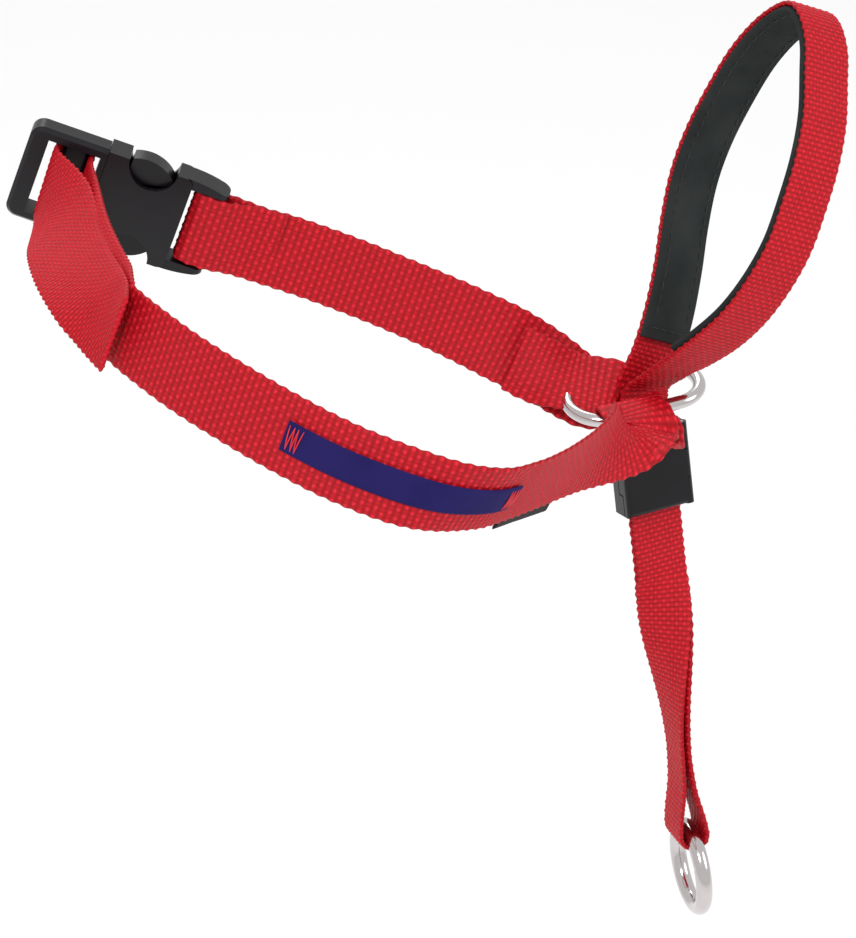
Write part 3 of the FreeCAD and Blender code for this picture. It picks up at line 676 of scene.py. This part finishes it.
def far_strap():
    bar = buckle(SOCKET_BAR_FORWARD, 0, 0)
    radius = SOCKET_BAR_RADIUS + WRAP_CLEARANCE + WEB_THICK / 2
    socket_turn = arc(bar, BUCKLE_OUT * -1, BUCKLE_ALONG * -1, radius, 6)
    start = [
        socket_turn[0] + BUCKLE_ALONG * 20 + BUCKLE_OUT * 1.2,
        socket_turn[0] + BUCKLE_ALONG * FOLD_BACK + BUCKLE_OUT * FOLD_RISE,
    ] + socket_turn + [socket_turn[-1] + BUCKLE_ALONG * FOLD_BACK]
    points = start + FAR_ROUTE + FAR_FOLD
    across = [BUCKLE_ACROSS] * len(start) + FAR_ACROSS + FAR_FOLD_ACROSS
    line = strap_line(points, across, NECK_PITCH)
    first = line.nearest(FAR_ROUTE[6])
    width = gathered(line, first, first + GATHER_LENGTH)
    piece = webbing("neck_webbing_far", line, width, NECK_FLOATS, NECK_PITCH, "halter")
    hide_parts("neck_strap_far")


def ladder_turn():
    """The path down through one slot, under the plug's flat bar and up through the other."""
    away = WRAP_CLEARANCE + WEB_THICK / 2
    reach = LADDER_BAR_HALF + away
    low = LADDER_BAR_TOP - LADDER_BAR_THICK - away
    radius = LADDER_BAR_THICK / 2 + away
    down = arc(buckle(LADDER_BAR_BACK + reach - radius, 0, low + radius), BUCKLE_ALONG, BUCKLE_OUT * -1, radius, 6)
    up = arc(buckle(LADDER_BAR_BACK - reach + radius, 0, low + radius), BUCKLE_ALONG, BUCKLE_OUT * -1, radius, 6)
    return down[:4] + up[3:]


def tail_strap():
    turn = ladder_turn()
    inner = [
        neck(-72.6, -8.5),
        neck(-71.6, 3.0),
        neck(-69.6, 16.0),
        neck(-66.0, 29.5),
        neck(-59.5, 44.5),
        turn[0] + BUCKLE_OUT * PLUG_THICK,
    ]
    outer = [
        turn[-1] + BUCKLE_OUT * PLUG_THICK,
        neck(-63.5, 46.3),
        neck(-69.5, 30.5),
        neck(-73.5, 16.5),
        neck(-75.6, 3.0),
        neck(-76.3, -6.0),
        neck(-78.2, -17.1),
    ]
    inner_across = [
        NECK_UP,
        NECK_UP * 0.8 + NECK_FORWARD * 0.3 + LEFT * -0.3,
        NECK_UP * 0.85 + NECK_FORWARD * 0.4 + LEFT * -0.3,
        NECK_UP * 0.9 + NECK_FORWARD * 0.35 + LEFT * -0.2,
        NECK_UP * 0.95 + NECK_FORWARD * 0.15 + LEFT * -0.1,
        BUCKLE_ACROSS,
    ]
    outer_across = [
        BUCKLE_ACROSS,
        NECK_UP * 0.85 + NECK_FORWARD * 0.45 + LEFT * -0.1,
        NECK_UP * 0.7 + NECK_FORWARD * 0.65 + LEFT * -0.28,
        NECK_UP * 0.65 + NECK_FORWARD * 0.65 + LEFT * -0.3,
        NECK_UP * 0.7 + NECK_FORWARD * 0.5 + LEFT * -0.35,
        NECK_UP * 0.9 + NECK_FORWARD * 0.3 + LEFT * -0.25,
        NECK_UP,
    ]
    line = strap_line(inner + turn + outer, inner_across + [BUCKLE_ACROSS] * len(turn) + outer_across, TAIL_PITCH)
    piece = webbing("adjuster_webbing", line, NECK_WIDTH, TAIL_FLOATS, TAIL_PITCH, "plug")
    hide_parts("adjuster_tail")


# Nose loop

NOSE_ROUTE = [
    drop(9.2, 1.0),
    nose(-1.3, 0.0),
    nose(-5.0, 7.0),
    nose(-11.0, 14.5),
    nose(-17.0, 23.0),
    nose(-21.5, 32.0),
    nose(-24.0, 42.0),
    nose(-24.5, 52.0),
    nose(-22.5, 62.0),
    nose(-19.5, 72.0),
    nose(-15.0, 81.0),
    nose(-8.5, 89.0),
    nose(-3.0, 95.0),
    nose(4.0, 98.7),
    nose(10.0, 98.0),
    nose(16.0, 91.0),
    nose(20.0, 81.0),
    nose(21.5, 69.0),
    nose(21.5, 58.0),
    nose(19.5, 48.0),
    nose(15.0, 38.0),
    nose(9.5, 28.5),
    nose(4.8, 18.5),
    nose(2.2, 9.5),
    nose(1.3, 0.0),
    drop(9.2, -1.0),
]
NOSE_TURN = [0.0, 0.2, 0.5, 0.8] + [1.0] * (len(NOSE_ROUTE) - 8) + [0.8, 0.5, 0.2, 0.0]
LINING_FROM = 27.5
LINING_TO = 22.0
LINING_THICK = 1.8
LINING_WIDTH = 13.4
THREAD_SUNK = 0.12
SEAM_ACROSS = 4.6
END_SEAM = 2.6
END_STITCH = 1.8
END_RISE = 0.2


def nose_loop():
    across = [FORWARD * (1 - turn) + NOSE_ACROSS * turn for turn in NOSE_TURN]
    line = strap_line(NOSE_ROUTE, across, NOSE_PITCH)
    piece = webbing("nose_webbing", line, NOSE_WIDTH, NOSE_FLOATS, NOSE_PITCH, "nose_loop")
    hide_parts("nose_strap")
    pad_line = line.part(LINING_FROM, line.length - LINING_TO).moved(out=(WEB_THICK + LINING_THICK) / 2)
    pad = padded_band("nose_padding", pad_line, LINING_WIDTH, LINING_THICK, NEOPRENE, "nose_loop")
    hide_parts("nose_lining")
    face = LINING_THICK / 2 - THREAD_SUNK
    rows = []
    for across_by in (SEAM_ACROSS, -SEAM_ACROSS):
        rows += seam(pad_line, 3, pad_line.length - 3, across_by, face)
    for s in (pad_line.length - END_SEAM, END_SEAM):
        for k in range(4):
            place = -SEAM_ACROSS + SEAM_ACROSS / 2 * k
            a = pad_line.at(s, place, face)
            b = pad_line.at(s, place + END_STITCH, face)
            rows.append(stitch_between(a, b, pad_line.out[pad_line.index(s)], END_RISE))
    stitches("padding_seams", rows, DARK_THREAD, "nose_loop")


# Control strap

def drop_axes(down):
    """The directions across the control strap and out of its near face."""
    share = min(max((down - DROP_STRAIGHT_END) / (TWIST_END - DROP_STRAIGHT_END), 0.0), 1.0)
    angle = math.radians(DROP_TWIST_DEG) * math.sin(share * math.pi / 2)
    across = FORWARD * math.cos(angle) + DROP_NEAR * math.sin(angle)
    return across, DROP_NEAR * math.cos(angle) - FORWARD * math.sin(angle)


def control_strap():
    radius = LOOP_RADIUS + WEB_THICK / 2
    depths = [9.6, 22.0, 34.0] + [46.0 + 4.0 * k for k in range(13)] + [102.0, 109.5]
    spread = [PLY_OFFSET] * 16 + [PLY_OFFSET * 1.6, radius * 0.86]
    front = []
    back = []
    across = []
    for down, apart in zip(depths, spread):
        level, out = drop_axes(down)
        front.append(drop(down) + out * apart)
        back.append(drop(down) - out * apart)
        across.append(level)
    level, out = drop_axes(DROP_PIVOT)
    turn = arc(drop(DROP_PIVOT), out, DROP, radius, 8)
    line = strap_line(front + turn + back[::-1], across + [level] * len(turn) + across[::-1], NOSE_PITCH)
    piece = webbing("control_webbing", line, NOSE_WIDTH, NOSE_FLOATS, NOSE_PITCH, "nose_loop")
    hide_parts("control_strap")


# Label and tag

LABEL_WIDTH = 7.4
LABEL_THICK = 0.6
LABEL_FROM = 52.0
LABEL_TO = 112.0
LABEL_RISE = 0.25
LABEL_STITCHES = (0.8, 3.6)
LABEL_STITCH_HALF = 2.9
LABEL_STITCH_OUT = 0.32
TAG_WIDTH = 11.0
TAG_THICK = 0.8
TAG_FROM = 120.0
TAG_TO = 145.0
TAG_RISE = 0.6
TAG_DROP = 8.4


def label_and_tag(line):
    """The blank label on the near strap's outer face and the blank tag behind its lower edge."""
    label_line = line.part(LABEL_FROM, LABEL_TO).moved(WEB_THICK / 2 + LABEL_RISE)
    label = padded_band("blank_label", label_line, LABEL_WIDTH, LABEL_THICK, BLUE_LABEL, "halter")
    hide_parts("woven_label")
    low, high = LABEL_STITCHES
    ends = []
    for first, last in ((low, high), (label_line.length - high, label_line.length - low)):
        ends += zigzag(label_line, first, last, LABEL_STITCH_HALF, LABEL_STITCH_OUT)
    stitches("label_stitches", ends, RED_THREAD, "halter")
    tag_line = line.part(TAG_FROM, TAG_TO).moved(-WEB_THICK / 2 - TAG_RISE, -TAG_DROP)
    tag = padded_band("blank_tag", tag_line, TAG_WIDTH, TAG_THICK, BLACK_TAPE, "halter")
    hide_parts("size_tag")


# Rings

WIRE_SIDES = 28
RING_END_STEPS = 40
CONTROL_RING_STEPS = 96


def wire_loop(name, centres, insides, normal, radius, body, node_name):
    """A round wire bent into a closed loop; insides point from the wire to the loop's middle."""
    points = []
    for centre, inside in zip(centres, insides):
        for k in range(WIRE_SIDES):
            angle = 2 * math.pi * k / WIRE_SIDES
            points.append(centre + inside * (radius * math.cos(angle)) + normal * (radius * math.sin(angle)))
    faces = []
    for k in range(len(centres)):
        after = (k + 1) % len(centres)
        for j in range(WIRE_SIDES):
            beside = (j + 1) % WIRE_SIDES
            faces.append((k * WIRE_SIDES + j, k * WIRE_SIDES + beside,
                          after * WIRE_SIDES + beside, after * WIRE_SIDES + j))
    piece = make_object(name, np.array(points), np.array(faces), CHROME, body)
    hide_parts(node_name)


def chin_ring():
    middle = RING_CENTRE + FORWARD * RING_SHIFT
    centres = []
    insides = []
    for end in (1, -1):
        for k in range(RING_END_STEPS + 1):
            angle = math.pi * (k / RING_END_STEPS - 0.5)
            away = FORWARD * (end * math.cos(angle)) + RING_SIDE * (end * math.sin(angle))
            centres.append(middle + FORWARD * (end * RING_HALF_STRAIGHT) + away * RING_BAR_REACH)
            insides.append(away * -1)
    wire_loop("chin_ring_wire", centres, insides, RING_NORMAL, RING_WIRE / 2, "halter", "chin_ring")


def control_ring():
    across, out = drop_axes(DROP_PIVOT)
    middle = drop(DROP_PIVOT + CONTROL_RING_RADIUS)
    centres = []
    insides = []
    for k in range(CONTROL_RING_STEPS):
        angle = 2 * math.pi * k / CONTROL_RING_STEPS
        away = across * math.cos(angle) + DROP * math.sin(angle)
        centres.append(middle + away * CONTROL_RING_RADIUS)
        insides.append(away * -1)
    wire_loop("control_ring_wire", centres, insides, across.cross(DROP), CONTROL_WIRE / 2, "lead_ring",
              "control_ring")


# Surroundings

FLOOR_HALF = 6.0
FLOOR_LOW = -0.75


def add_camera():
    azimuth = math.radians(CAMERA_AZIMUTH)
    elevation = math.radians(CAMERA_ELEVATION)
    back = V((math.sin(azimuth) * math.cos(elevation), -math.cos(azimuth) * math.cos(elevation),
              math.sin(elevation)))
    data = bpy.data.cameras.new("camera")
    data.sensor_fit = "HORIZONTAL"
    data.sensor_width = SENSOR_WIDTH
    data.lens = LENS
    data.clip_end = 20
    camera = bpy.data.objects.new("camera", data)
    camera.location = CAMERA_TARGET + back * CAMERA_DISTANCE
    camera.rotation_euler = back.to_track_quat("Z", "Y").to_euler()
    bpy.context.scene.collection.objects.link(camera)
    bpy.context.scene.camera = camera


def add_area(name, place, size, power):
    """A round soft light that points at the object."""
    data = bpy.data.lights.new(name, "AREA")
    data.shape = "DISK"
    data.size = size
    data.energy = power
    light = bpy.data.objects.new(name, data)
    light.location = place
    light.rotation_euler = V(place).to_track_quat("Z", "Y").to_euler()
    bpy.context.scene.collection.objects.link(light)


def add_floor():
    mesh = bpy.data.meshes.new("floor")
    half = FLOOR_HALF
    low = FLOOR_LOW
    mesh.from_pydata([(-half, -half, low), (half, -half, low), (half, half, low), (-half, half, low)], [],
                     [(0, 1, 2, 3)])
    material, _, _, shader = new_material("floor")
    shader.inputs["Base Color"].default_value = (0.92, 0.92, 0.92, 1)
    shader.inputs["Roughness"].default_value = 0.9
    mesh.materials.append(material)
    floor = bpy.data.objects.new("floor", mesh)
    bpy.context.scene.collection.objects.link(floor)


def add_world():
    world = bpy.data.worlds.new("studio")
    world.use_nodes = True
    background = world.node_tree.nodes["Background"]
    background.inputs["Color"].default_value = (1, 1, 1, 1)
    background.inputs["Strength"].default_value = 0.8
    bpy.context.scene.world = world
    bpy.context.scene.view_settings.view_transform = "Standard"


add_camera()
add_world()
add_floor()
add_area("key", (-0.9, -1.2, 1.6), 0.7, 20)
add_area("fill", (1.3, -1.0, 0.7), 1.0, 6)
add_area("rim", (0.4, 1.4, 1.2), 0.8, 9)

near_line = near_strap()
far_strap()
tail_strap()
nose_loop()
control_strap()
label_and_tag(near_line)

for name in ("buckle_socket", "buckle_plug", "prong_upper", "prong_lower", "clamp_body", "clamp_lid"):
    paint(name, BLACK_PLASTIC)
chin_ring()
control_ring()
paint("clamp_pin", STEEL)
